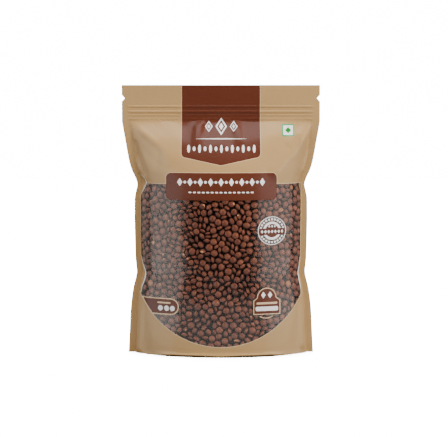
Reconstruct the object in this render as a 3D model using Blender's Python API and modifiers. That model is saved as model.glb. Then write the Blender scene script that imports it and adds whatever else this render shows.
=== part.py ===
"""Stand-up pouch of dry lentils: a sealed flexible pack with a clear front window.

Metres, +Z up. The pouch stands on the XY plane with its base centred on the
origin, its front with the window towards -Y and its side seals at -X and +X.
"""

import math
import random

import bmesh
import bpy
import numpy as np
from mathutils import Matrix, Vector

MM = 0.001

# Height, half width, half depth and seal width of the pouch, from the base up to the zipper
STATIONS = (
    (0 * MM, 90.0 * MM, 29.0 * MM, 6.5 * MM),
    (24 * MM, 88.8 * MM, 31.4 * MM, 6.2 * MM),
    (44 * MM, 87.6 * MM, 33.4 * MM, 6.0 * MM),
    (60 * MM, 85.1 * MM, 34.9 * MM, 5.7 * MM),
    (77 * MM, 81.7 * MM, 36.2 * MM, 5.5 * MM),
    (100 * MM, 83.1 * MM, 37.2 * MM, 5.5 * MM),
    (148 * MM, 83.0 * MM, 37.0 * MM, 5.5 * MM),
    (163 * MM, 80.7 * MM, 35.4 * MM, 5.5 * MM),
    (175 * MM, 85.0 * MM, 32.0 * MM, 5.8 * MM),
    (192 * MM, 89.7 * MM, 25.0 * MM, 6.5 * MM),
    (208 * MM, 92.5 * MM, 15.4 * MM, 7.3 * MM),
    (224 * MM, 95.2 * MM, 0.5 * MM, 8.1 * MM),
)
HEIGHT = 258.5 * MM
SEAL_HALF_THICKNESS = 0.5 * MM
BULGE_POWER = 0.65
BODY_ROWS = 38
BODY_COLUMNS = 26

# Folds in the sheet: start and end on the front (x, z), half width and height (negative is a dent)
FOLDS = (
    ((-87 * MM, 223 * MM), (-62 * MM, 194 * MM), 6 * MM, -3.0 * MM),
    ((-85 * MM, 223 * MM), (-43 * MM, 202 * MM), 7 * MM, 1.8 * MM),
    ((87 * MM, 223 * MM), (63 * MM, 193 * MM), 6 * MM, -3.0 * MM),
    ((86 * MM, 223 * MM), (46 * MM, 202 * MM), 7 * MM, 1.8 * MM),
    ((-80 * MM, 168 * MM), (-66 * MM, 160 * MM), 6 * MM, -2.4 * MM),
    ((80 * MM, 168 * MM), (68 * MM, 162 * MM), 6 * MM, -2.4 * MM),
    ((-79 * MM, 82 * MM), (-67 * MM, 75 * MM), 7 * MM, -2.0 * MM),
    ((79 * MM, 80 * MM), (68 * MM, 71 * MM), 7 * MM, -2.0 * MM),
    ((-80 * MM, 6 * MM), (-77 * MM, 54 * MM), 5 * MM, 1.5 * MM),
    ((80 * MM, 8 * MM), (77 * MM, 56 * MM), 5 * MM, 1.5 * MM),
)

# Press-to-close zipper: height and thickness of each track across the header
ZIPPER_TRACKS = ((226.6 * MM, 1.8 * MM), (233.6 * MM, 2.4 * MM), (238.6 * MM, 2.4 * MM))
ZIPPER_HALF_LENGTH = 88 * MM
ZIPPER_TRACK_HEIGHT = 1.9 * MM

# Tear notch in each side of the header
NOTCH_HEIGHT = 246.6 * MM
NOTCH_DEPTH = 2.9 * MM
NOTCH_HALF_OPENING = 3.2 * MM

# Window in the front: straight top and sides, and an arc below
WINDOW_HALF_WIDTH = 74.0 * MM
WINDOW_TOP = 165.0 * MM
WINDOW_SIDE_END = 58 * MM
WINDOW_BOTTOM = 9.2 * MM
WINDOW_ARC_STEPS = 22
RECESS_SHARE = 0.65
FLOOR_COLUMNS = 14
FLOOR_ROWS = 14
CUTTER_REACH = 60 * MM

# Heap of lentils that shows in the window
LENTIL_SPACING = 6.4 * MM
LENTIL_CREST = (0.1 * MM, 0.6 * MM)
LENTIL_VALLEY = (1.8 * MM, 2.6 * MM)
LENTIL_SHIFT = 0.8 * MM
HEAP_SEED = 7
GAP = 0.3 * MM

HEADER_BASE, HEADER_HALF_WIDTH, _, _ = STATIONS[-1]


def clear_scene():
    """Remove every object that the scene starts with."""
    for item in list(bpy.data.objects):
        bpy.data.objects.remove(item, do_unlink=True)


def new_collection(name):
    """Add an empty collection to the scene."""
    collection = bpy.data.collections.new(name)
    bpy.context.scene.collection.children.link(collection)
    return collection


def principled(name, colour, roughness, metallic=0.0):
    """Make a plain Principled material."""
    material = bpy.data.materials.new(name)
    material.use_nodes = True
    shader = material.node_tree.nodes["Principled BSDF"]
    shader.inputs["Base Color"].default_value = (*colour, 1.0)
    shader.inputs["Roughness"].default_value = roughness
    shader.inputs["Metallic"].default_value = metallic
    return material


def add_object(name, mesh_source, collection):
    """Link an object made of a bmesh, with outward normals."""
    bmesh.ops.recalc_face_normals(mesh_source, faces=mesh_source.faces)
    mesh = bpy.data.meshes.new(name)
    mesh_source.to_mesh(mesh)
    mesh_source.free()
    item = bpy.data.objects.new(name, mesh)
    collection.objects.link(item)
    return item


def add_boolean(item, operand, operation):
    """Cut, join or trim an object with another one."""
    modifier = item.modifiers.new(operation.title(), "BOOLEAN")
    modifier.object = operand
    modifier.operation = operation
    modifier.solver = "EXACT"


def station_value(height, column):
    """Read one column of the stations on a smooth curve through them."""
    heights = np.array([row[0] for row in STATIONS])
    values = np.array([row[column] for row in STATIONS])
    if height >= heights[-1]:
        return float(values[-1])
    slopes = np.gradient(values, heights)
    low = int(np.searchsorted(heights, height, side="right")) - 1
    span = heights[low + 1] - heights[low]
    t = (height - heights[low]) / span
    start = (1 + 2 * t) * (1 - t) ** 2 * values[low] + t * (1 - t) ** 2 * span * slopes[low]
    end = t * t * (3 - 2 * t) * values[low + 1] - t * t * (1 - t) * span * slopes[low + 1]
    return float(start + end)


def fold_relief(x, z):
    """Height of the folds at a point of the front: a soft ridge or dent along each one."""
    relief = 0.0
    for start, end, width, height in FOLDS:
        line = Vector(end) - Vector(start)
        offset = Vector((x, z)) - Vector(start)
        along = min(max(offset.dot(line) / line.length_squared, 0.0), 1.0)
        distance = (offset - line * along).length
        relief += height * math.exp(-((distance / width) ** 2)) * (1.0 - 0.6 * along)
    return relief


def depth_at(x, z):
    """Half depth of the pouch at a point of the front."""
    inner = station_value(z, 1) - station_value(z, 3)
    share = max(0.0, 1.0 - (x / inner) ** 2)
    bulge = (station_value(z, 2) - SEAL_HALF_THICKNESS) * share ** BULGE_POWER
    fade = min(1.0, bulge / (8 * MM))
    return SEAL_HALF_THICKNESS + max(0.0, bulge + fold_relief(x, z) * fade)


def section(z, columns):
    """Front half of a section: out along the left seal, over the bulge and back to the right."""
    outer = station_value(z, 1)
    inner = outer - station_value(z, 3)
    points = [(-outer, 0.0), (-outer, -SEAL_HALF_THICKNESS)]
    for step in range(columns + 1):
        x = -inner * math.cos(math.pi * step / columns)
        points.append((x, -depth_at(x, z)))
    points += [(outer, -SEAL_HALF_THICKNESS), (outer, 0.0)]
    return [Vector((x, y, z)) for x, y in points]


def build_pouch_body(collection):
    """Loft the front half from the oval base to the flat header, and mirror it to the back."""
    levels = [HEADER_BASE * row / BODY_ROWS for row in range(BODY_ROWS + 1)] + [HEIGHT]
    sections = [section(z, BODY_COLUMNS) for z in levels]
    floor = [Vector((point.x, 0.0, 0.0)) for point in sections[0]]
    lid = [Vector((point.x, 0.0, HEIGHT)) for point in sections[-1]]
    source = bmesh.new()
    rows = [[source.verts.new(point) for point in row] for row in [floor, *sections, lid]]
    for lower, upper in zip(rows, rows[1:]):
        for i in range(len(lower) - 1):
            source.faces.new((lower[i], lower[i + 1], upper[i + 1], upper[i]))
    bmesh.ops.remove_doubles(source, verts=source.verts, dist=0.01 * MM)
    pouch = add_object("pouch", source, collection)
    mirror = pouch.modifiers.new("Front to back", "MIRROR")
    mirror.use_axis = (False, True, False)
    mirror.merge_threshold = 0.02 * MM
    return pouch


def build_zipper_tracks(collection):
    """Bars that stand proud of both faces of the header, to be joined to it."""
    source = bmesh.new()
    for height, thickness in ZIPPER_TRACKS:
        size = Matrix.Diagonal((2 * ZIPPER_HALF_LENGTH, thickness, ZIPPER_TRACK_HEIGHT, 1.0))
        place = Matrix.Translation((0.0, 0.0, height))
        bmesh.ops.create_cube(source, size=1.0, matrix=place @ size)
    return add_object("zipper_tracks", source, collection)


def build_tear_notches(collection):
    """Diamond bars that cut a V into each side of the header."""
    source = bmesh.new()
    turn = Matrix.Rotation(math.radians(45), 4, "Y")
    edge = math.sqrt(0.5)
    for side in (-1, 1):
        size = Matrix.Diagonal((2 * NOTCH_DEPTH, 20 * MM, 2 * NOTCH_HALF_OPENING, 1.0))
        place = Matrix.Translation((side * HEADER_HALF_WIDTH, 0.0, NOTCH_HEIGHT))
        bmesh.ops.create_cube(source, size=edge, matrix=place @ size @ turn)
    return add_object("tear_notches", source, collection)


def window_outline(inset):
    """Corners of the window, and its arc below, drawn in by an inset."""
    half = WINDOW_HALF_WIDTH
    rise = WINDOW_SIDE_END - WINDOW_BOTTOM
    radius = (half ** 2 + rise ** 2) / (2 * rise)
    centre = WINDOW_BOTTOM + radius
    half -= inset
    radius -= inset
    reach = math.asin(half / radius)
    points = [(half, WINDOW_TOP - inset), (-half, WINDOW_TOP - inset)]
    for step in range(WINDOW_ARC_STEPS + 1):
        angle = reach * (2 * step / WINDOW_ARC_STEPS - 1)
        points.append((radius * math.sin(angle), centre - radius * math.cos(angle)))
    return points


def build_window_bar(name, inset, collection):
    """Window outline drawn out along Y, through the front of the pouch."""
    curve = bpy.data.curves.new(name, "CURVE")
    curve.dimensions = "2D"
    curve.fill_mode = "BOTH"
    curve.extrude = CUTTER_REACH / 2
    outline = window_outline(inset)
    spline = curve.splines.new("POLY")
    spline.points.add(len(outline) - 1)
    for point, (x, z) in zip(spline.points, outline):
        point.co = (x, z, 0.0, 1.0)
    spline.use_cyclic_u = True
    drawing = bpy.data.objects.new(name, curve)
    collection.objects.link(drawing)
    drawing.matrix_world = Matrix.Translation((0, -CUTTER_REACH / 2, 0)) @ Matrix.Rotation(math.pi / 2, 4, "X")
    bpy.context.view_layer.update()
    mesh = bpy.data.meshes.new_from_object(drawing.evaluated_get(bpy.context.evaluated_depsgraph_get()))
    source = bmesh.new()
    source.from_mesh(mesh)
    bmesh.ops.remove_doubles(source, verts=source.verts, dist=0.01 * MM)
    source.transform(drawing.matrix_world)
    bpy.data.objects.remove(drawing, do_unlink=True)
    return add_object(name, source, collection)


def build_floor_block(name, lift, collection):
    """Everything in front of the floor of the window's recess, which follows the bulge."""
    source = bmesh.new()
    margin = 0.6 * MM
    bmesh.ops.create_grid(source, x_segments=FLOOR_COLUMNS, y_segments=FLOOR_ROWS, size=1.0)
    for vertex in source.verts:
        x = vertex.co.x * (WINDOW_HALF_WIDTH + margin)
        z = WINDOW_BOTTOM - margin + (vertex.co.y + 1) / 2 * (WINDOW_TOP - WINDOW_BOTTOM + 2 * margin)
        vertex.co = (x, -RECESS_SHARE * depth_at(x, z) - lift, z)
    bmesh.ops.triangulate(source, faces=source.faces[:], quad_method="FIXED")
    moved = bmesh.ops.extrude_face_region(source, geom=source.faces[:])
    for vertex in moved["geom"]:
        if isinstance(vertex, bmesh.types.BMVert):
            vertex.co.y = -CUTTER_REACH + 5 * MM
    return add_object(name, source, collection)


def build_bumps(collection):
    """Everything behind a surface of lentil-sized bumps that lies just under the film."""
    draw = random.Random(HEAP_SEED)
    source = bmesh.new()
    columns = math.ceil(2 * WINDOW_HALF_WIDTH / LENTIL_SPACING) + 2
    pitch = LENTIL_SPACING * math.sqrt(3) / 2
    rows = math.ceil((WINDOW_TOP - WINDOW_BOTTOM) / pitch) + 2
    radius = LENTIL_SPACING / math.sqrt(3)
    for row in range(rows):
        for column in range(columns):
            x = (column - columns / 2 + 0.5 * (row % 2)) * LENTIL_SPACING
            z = WINDOW_BOTTOM + (row - 0.5) * pitch
            place = Matrix.Translation((x, z, 0.0))
            bmesh.ops.create_circle(source, cap_ends=True, radius=radius, segments=6, matrix=place)
    bmesh.ops.remove_doubles(source, verts=source.verts, dist=0.05 * MM)
    corners = set(source.verts)
    bmesh.ops.poke(source, faces=source.faces[:])
    for vertex in source.verts:
        x = vertex.co.x + draw.uniform(-LENTIL_SHIFT, LENTIL_SHIFT)
        z = vertex.co.y + draw.uniform(-LENTIL_SHIFT, LENTIL_SHIFT)
        sunk = draw.uniform(*(LENTIL_VALLEY if vertex in corners else LENTIL_CREST))
        vertex.co = (x, min(0.0, sunk - depth_at(x, z)), z)
    moved = bmesh.ops.extrude_face_region(source, geom=source.faces[:])
    for vertex in moved["geom"]:
        if isinstance(vertex, bmesh.types.BMVert):
            vertex.co.y = 5 * MM
    return add_object("lentils", source, collection)


def main():
    """Build the pouch and the lentils that show in its window."""
    clear_scene()
    parts = new_collection("lentil_pouch")
    guides = new_collection("cutters")

    pouch = build_pouch_body(parts)
    pouch.data.materials.append(principled("kraft_film", (0.40, 0.27, 0.16), 0.45))
    recess = build_floor_block("window_recess", 0.0, guides)
    add_boolean(recess, build_window_bar("window_bar", 0.0, guides), "INTERSECT")
    add_boolean(pouch, build_zipper_tracks(guides), "UNION")
    add_boolean(pouch, build_tear_notches(guides), "DIFFERENCE")
    add_boolean(pouch, recess, "DIFFERENCE")

    lentils = build_bumps(parts)
    lentils.data.materials.append(principled("lentil_brown", (0.13, 0.045, 0.025), 0.6))
    heap_space = build_floor_block("heap_space", GAP, guides)
    add_boolean(heap_space, build_window_bar("heap_bar", GAP, guides), "INTERSECT")
    add_boolean(lentils, heap_space, "INTERSECT")

    for guide in guides.objects:
        guide.hide_render = True
        guide.display_type = "WIRE"


main()
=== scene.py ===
"""A sealed stand-up pouch of brown lentils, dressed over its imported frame.

The printed film, the clear window, the lentils behind it and the studio are
built here. Everything is in metres in the frame's own axes: the pouch stands on
the XY plane, its front looks towards -Y and its header is up.
"""

import logging
import math
from dataclasses import dataclass, field
from enum import Enum
from typing import Iterable, Sequence

import bmesh
import bpy
import numpy as np
from mathutils import Matrix, Vector
from mathutils.geometry import delaunay_2d_cdt
from mathutils.kdtree import KDTree


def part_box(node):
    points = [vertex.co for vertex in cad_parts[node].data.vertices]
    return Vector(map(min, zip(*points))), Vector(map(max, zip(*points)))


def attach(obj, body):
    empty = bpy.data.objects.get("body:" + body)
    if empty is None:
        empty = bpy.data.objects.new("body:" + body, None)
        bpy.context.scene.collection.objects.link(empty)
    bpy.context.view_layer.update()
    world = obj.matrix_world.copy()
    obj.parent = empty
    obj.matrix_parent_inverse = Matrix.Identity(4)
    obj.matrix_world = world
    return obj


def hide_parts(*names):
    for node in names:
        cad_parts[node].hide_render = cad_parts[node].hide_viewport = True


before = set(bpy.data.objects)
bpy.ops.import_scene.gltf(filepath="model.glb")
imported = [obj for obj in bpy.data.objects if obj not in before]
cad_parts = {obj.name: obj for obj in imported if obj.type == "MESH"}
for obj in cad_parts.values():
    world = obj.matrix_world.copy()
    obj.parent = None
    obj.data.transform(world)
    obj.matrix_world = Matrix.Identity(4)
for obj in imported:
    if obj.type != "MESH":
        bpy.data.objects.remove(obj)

LOG = logging.getLogger("lentil_pouch")
BODY = "root"
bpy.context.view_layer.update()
POUCH_LOW, POUCH_HIGH = (Vector(corner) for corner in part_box("pouch"))
NOMINAL_WIDTH = 190.4
MM = (POUCH_HIGH.x - POUCH_LOW.x) / NOMINAL_WIDTH

Point = tuple[float, float]
Triple = tuple[float, float, float]
Loop = list[Point]
Array = np.ndarray
Piece = bpy.types.Object


def srgb(red: float, green: float, blue: float) -> Triple:
    """Turn screen values from 0 to 255 into a linear colour."""
    shares = (red / 255, green / 255, blue / 255)
    return tuple(s / 12.92 if s <= 0.04045 else ((s + 0.055) / 1.055) ** 2.4 for s in shares)


def ramp(value: Array, start: float, run: float) -> Array:
    """Rise from nought at the start to one after the run."""
    return np.clip((value - start) / run, 0.0, 1.0)


class Ink(Enum):
    """What the front of the pouch is printed with, in the order of its material slots."""

    KRAFT = 0
    BROWN = 1
    CREAM = 2
    WHITE = 3
    GREEN = 4
    LEAF = 5
    CLEAR = 6


class Socket:
    """A node's output whose arithmetic adds Math nodes to its tree."""

    def __init__(self, tree: bpy.types.NodeTree, socket: bpy.types.NodeSocket) -> None:
        """Wrap one output socket."""
        self.tree = tree
        self.socket = socket

    def _math(self, operation: str, first: "Socket | float", second: "Socket | float") -> "Socket":
        """Add a Math node of two operands."""
        node = self.tree.nodes.new("ShaderNodeMath")
        node.operation = operation
        for slot, operand in zip(node.inputs, (first, second)):
            if isinstance(operand, Socket):
                self.tree.links.new(operand.socket, slot)
            else:
                slot.default_value = operand
        return Socket(self.tree, node.outputs[0])

    def __add__(self, other: "Socket | float") -> "Socket":
        """Add."""
        return self._math("ADD", self, other)

    __radd__ = __add__

    def __sub__(self, other: "Socket | float") -> "Socket":
        """Subtract."""
        return self._math("SUBTRACT", self, other)

    def __rsub__(self, other: float) -> "Socket":
        """Subtract from a number."""
        return self._math("SUBTRACT", other, self)

    def __mul__(self, other: "Socket | float") -> "Socket":
        """Multiply."""
        return self._math("MULTIPLY", self, other)

    __rmul__ = __mul__

    def __truediv__(self, other: "Socket | float") -> "Socket":
        """Divide."""
        return self._math("DIVIDE", self, other)

    def __pow__(self, other: float) -> "Socket":
        """Raise to a power."""
        return self._math("POWER", self, other)


class Graph:
    """A node tree that is filled by one method."""

    def __init__(self, tree: bpy.types.NodeTree) -> None:
        """Start an empty tree."""
        self.tree = tree
        tree.nodes.clear()

    def add(
        self,
        kind: str,
        settings: dict | None = None,
        sockets: dict | None = None,
        output: str | int = 0,
    ) -> Socket | None:
        """Add a node, set it up and link it.

        Args:
            kind: The node's type.
            settings: Its properties, and a ramp's stops as (place, colour) pairs.
            sockets: Values or links by input name or number.
            output: The output to hand back.

        Returns:
            The chosen output, or None for a node that has none.
        """
        node = self.tree.nodes.new(kind)
        for name, value in (settings or {}).items():
            if name == "stops":
                self._set_stops(node.color_ramp, value)
            else:
                setattr(node, name, value)
        for name, value in (sockets or {}).items():
            if isinstance(value, Socket):
                self.tree.links.new(value.socket, node.inputs[name])
            else:
                node.inputs[name].default_value = value
        return Socket(self.tree, node.outputs[output]) if len(node.outputs) else None

    def noise(self, place: Socket, scale: float, detail: float) -> Socket:
        """Add a noise texture."""
        return self.add("ShaderNodeTexNoise", sockets={"Vector": place, "Scale": scale, "Detail": detail})

    def bump(self, height: Socket, strength: float, distance: float) -> Socket:
        """Turn a height into a normal, with the distance in millimetres."""
        return self.add(
            "ShaderNodeBump", sockets={"Strength": strength, "Distance": distance * MM, "Height": height}
        )

    def principled(self, **sockets: object) -> Socket:
        """Add a Principled shader, with its sockets' names written in one word."""
        named = {name.replace("_", " "): value for name, value in sockets.items()}
        return self.add("ShaderNodeBsdfPrincipled", sockets=named)

    @staticmethod
    def _set_stops(colours: bpy.types.ColorRamp, stops: Sequence[tuple]) -> None:
        """Give a ramp its stops."""
        while len(colours.elements) < len(stops):
            colours.elements.new(1.0)
        for element, (place, colour) in zip(colours.elements, stops):
            element.position = place
            element.color = (*colour, 1.0)


@dataclass(frozen=True)
class Finish:
    """A surface finish that makes its own material."""

    name: str

    def material(self) -> bpy.types.Material:
        """Make the material, or hand back the one already made."""
        made = bpy.data.materials.get(self.name)
        if made is None:
            made = bpy.data.materials.new(self.name)
            made.use_nodes = True
            graph = Graph(made.node_tree)
            place = graph.add("ShaderNodeTexCoord", output="Object")
            graph.add("ShaderNodeOutputMaterial", sockets={"Surface": self.surface(graph, place)})
        return made

    def surface(self, graph: Graph, place: Socket) -> Socket:
        """Add the finish's nodes.

        Args:
            graph: The shader tree.
            place: The piece's own coordinates.

        Returns:
            The shader.
        """
        raise NotImplementedError


@dataclass(frozen=True)
class PrintedFilm(Finish):
    """Matt printed laminate with a soft sheen and the faint mottle of its paper look."""

    colour: Triple = (0.5, 0.5, 0.5)
    mottle: float = 0.05
    cloud_scale: float = 38.0
    cloud_detail: float = 4.0
    cloud_share: float = 1.6
    grain_scale: Triple = (260.0, 260.0, 900.0)
    grain_turn: float = 0.35
    grain_bump: tuple[float, float] = (0.08, 0.2)
    roughness: float = 0.52
    roughness_spread: float = 0.12
    specular: float = 0.35
    coat: float = 0.58
    coat_roughness: float = 0.17

    def surface(self, graph: Graph, place: Socket) -> Socket:
        """Add the finish's nodes and hand back its shader."""
        cloudy = graph.noise(place, self.cloud_scale, self.cloud_detail)
        long_grain = graph.add(
            "ShaderNodeMapping",
            sockets={"Vector": place, "Scale": self.grain_scale, "Rotation": (0.0, self.grain_turn, 0.0)},
        )
        fibre = graph.noise(long_grain, 1.0, 3.0)
        shade = 1.0 + (cloudy - 0.5) * (self.mottle * self.cloud_share) + (fibre - 0.5) * self.mottle
        tone = graph.add("ShaderNodeVectorMath", {"operation": "SCALE"}, {0: self.colour, "Scale": shade})
        return graph.principled(
            Base_Color=tone,
            Roughness=self.roughness + (cloudy - 0.5) * self.roughness_spread,
            Normal=graph.bump(fibre, *self.grain_bump),
            Specular_IOR_Level=self.specular,
            Coat_Weight=self.coat,
            Coat_Roughness=self.coat_roughness,
        )


@dataclass(frozen=True)
class ClearFilm(Finish):
    """Clear glossy film that lets the lentils show and mirrors the lights softly."""

    sheen: Triple = (1.0, 0.97, 0.92)
    roughness: float = 0.2
    straight_mirror: float = 0.075
    slanting_mirror: float = 0.75
    slant_power: float = 5.0
    dimple_scale: float = 150.0
    dimple_height: float = 0.22
    wave_scale: float = 28.0
    wave_height: float = 1.6
    bump: tuple[float, float] = (0.5, 1.0)

    def surface(self, graph: Graph, place: Socket) -> Socket:
        """Add the finish's nodes and hand back its shader."""
        dimples = graph.noise(place, self.dimple_scale, 1.0)
        waves = graph.noise(place, self.wave_scale, 1.0)
        height = dimples * self.dimple_height + waves * self.wave_height
        gloss = graph.principled(
            Base_Color=(*self.sheen, 1.0),
            Metallic=1.0,
            Roughness=self.roughness,
            Normal=graph.bump(height, *self.bump),
        )
        through = graph.add("ShaderNodeBsdfTransparent")
        slant = graph.add("ShaderNodeLayerWeight", sockets={"Blend": 0.5}, output="Facing")
        mirror = slant ** self.slant_power * self.slanting_mirror + self.straight_mirror
        return graph.add("ShaderNodeMixShader", sockets={0: mirror, 1: through, 2: gloss})


@dataclass(frozen=True)
class LentilSkin(Finish):
    """Dry seed coat, lighter or darker from lentil to lentil, with fine specks, and painted shade that
    darkens it the deeper it lies behind the film.
    """

    dark: Triple = (0.087, 0.0212, 0.0090)
    middle: Triple = (0.146, 0.0358, 0.0148)
    light: Triple = (0.206, 0.0610, 0.0268)
    kernel: Triple = (0.520, 0.2500, 0.1100)
    middle_stop: float = 0.55
    tint_share: float = 0.8
    tint_offset: float = 0.1
    # The painted shade deepens between these depths behind the film, in millimetres, down to the darkest
    # share of the coat's colour.
    shaded_from: float = 0.9
    shaded_to: float = 3.1
    darkest: float = 0.12
    speck_scale: float = 700.0
    speck_share: float = 0.4
    patch_scale: float = 210.0
    chipped: float = 0.73
    chip_sharpness: float = 30.0
    roughness: float = 0.36
    roughness_spread: float = 0.16
    specular: float = 0.75
    bump: tuple[float, float] = (0.15, 0.2)

    def surface(self, graph: Graph, place: Socket) -> Socket:
        """Add the finish's nodes and hand back its shader."""
        tint = graph.add("ShaderNodeAttribute", {"attribute_name": "tint"}, output="Fac")
        painted_shade_depth = graph.add("ShaderNodeAttribute", {"attribute_name": "painted_shade_depth"}, output="Fac")
        specks = graph.noise(place, self.speck_scale, 3.0)
        tone = graph.add(
            "ShaderNodeValToRGB",
            {"stops": [(0.0, self.dark), (self.middle_stop, self.middle), (1.0, self.light)]},
            {0: tint * self.tint_share + specks * self.speck_share - self.tint_offset},
        )
        patches = graph.noise(place, self.patch_scale, 1.0)
        bare = graph.add(
            "ShaderNodeMath",
            {"operation": "MULTIPLY", "use_clamp": True},
            {0: patches - self.chipped, 1: self.chip_sharpness},
        )
        coat = graph.add(
            "ShaderNodeMix", {"data_type": "RGBA"}, {"Factor": bare, 6: tone, 7: (*self.kernel, 1.0)}, 2
        )
        # Painted shade: the deeper a point lies behind the film, the darker its coat.
        shade = graph.add(
            "ShaderNodeMapRange",
            {"interpolation_type": "SMOOTHSTEP"},
            {
                "Value": painted_shade_depth,
                "From Min": self.shaded_from,
                "From Max": self.shaded_to,
                "To Min": 1.0,
                "To Max": self.darkest,
            },
        )
        return graph.principled(
            Base_Color=graph.add("ShaderNodeVectorMath", {"operation": "SCALE"}, {0: coat, "Scale": shade}),
            Roughness=self.roughness + specks * self.roughness_spread,
            Normal=graph.bump(specks, *self.bump),
            Specular_IOR_Level=self.specular,
        )


@dataclass(frozen=True)
class HeapShade(Finish):
    """Painted shade between the lentils: a dark stand-in for the seed coats deep in the heap, coloured as
    they look in shade.
    """

    # Painted shade colours: darkest at the cells' edges and a little lighter at their middles.
    dark: Triple = srgb(30, 16, 11)
    light: Triple = srgb(58, 30, 20)
    cell_scale: float = 150.0
    dark_stop: float = 0.6
    roughness: float = 0.9

    def surface(self, graph: Graph, place: Socket) -> Socket:
        """Add the finish's nodes and hand back its shader."""
        cells = graph.add("ShaderNodeTexVoronoi", sockets={"Vector": place, "Scale": self.cell_scale})
        stops = [(0.0, self.light), (self.dark_stop, self.dark)]
        tone = graph.add("ShaderNodeValToRGB", {"stops": stops}, {0: cells})
        return graph.principled(Base_Color=tone, Roughness=self.roughness)


@dataclass(frozen=True)
class TableTop(Finish):
    """Plain pale studio table."""

    colour: Triple = (0.92, 0.92, 0.92)
    roughness: float = 0.7

    def surface(self, graph: Graph, place: Socket) -> Socket:
        """Add the finish's nodes and hand back its shader."""
        return graph.principled(Base_Color=(*self.colour, 1.0), Roughness=self.roughness)


INKS: dict[Ink, Finish] = {
    Ink.KRAFT: PrintedFilm("kraft_film", (0.400, 0.237, 0.092)),
    Ink.BROWN: PrintedFilm("brown_print", (0.087, 0.0195, 0.0075), coat=0.42),
    Ink.CREAM: PrintedFilm("cream_print", (0.640, 0.450, 0.260)),
    # The white ink is real print, and it also paints the highlights along the film's creases.
    Ink.WHITE: PrintedFilm("white_print_and_crease_highlights", srgb(240, 236, 230), 0.02),
    Ink.GREEN: PrintedFilm("green_print", srgb(52, 150, 88), 0.02),
    Ink.LEAF: PrintedFilm("deep_green_print", srgb(4, 118, 24), 0.02),
    Ink.CLEAR: ClearFilm("clear_film"),
}
LENTIL_SKIN = LentilSkin("lentil_skin")
SPLIT_SKIN = LentilSkin("split_lentil_skin", (0.17, 0.05, 0.02), (0.30, 0.11, 0.045), (0.44, 0.20, 0.09))
HEAP_SHADE = HeapShade("heap_shade")
TABLE_TOP = TableTop("table_top")


@dataclass(frozen=True)
class Fold:
    """A ridge or a dent along a line on the front."""

    start: Point
    end: Point
    width: float
    height: float
    crisp: bool = False
    waning: float = 0.6

    def relief(self, x: Array, z: Array) -> Array:
        """Work out the height that the fold adds."""
        line = np.subtract(self.end, self.start)
        across, up = x - self.start[0], z - self.start[1]
        along = ramp(across * line[0] + up * line[1], 0.0, line @ line)
        distance = np.hypot(across - along * line[0], up - along * line[1]) / self.width
        if self.crisp:
            shape = np.maximum(0.0, 1.0 - distance)
        else:
            shape = np.exp(-(distance ** 2))
        return self.height * shape * (1.0 - self.waning * along)


@dataclass(frozen=True)
class Pinch:
    """A three-cornered dent where a side buckles inwards."""

    apex: Point
    seal_x: float
    half_height: float
    depth: float

    def relief(self, x: Array, z: Array) -> Array:
        """Work out the height that the dent takes away."""
        out = np.clip((x - self.apex[0]) / (self.seal_x - self.apex[0]), 0.0, 1.3)
        reach = np.maximum(1e-6, out * self.half_height)
        shape = np.clip(1.0 - np.abs(z - self.apex[1]) / reach, 0.0, 1.0)
        return -self.depth * np.minimum(out, 1.0) * shape


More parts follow.
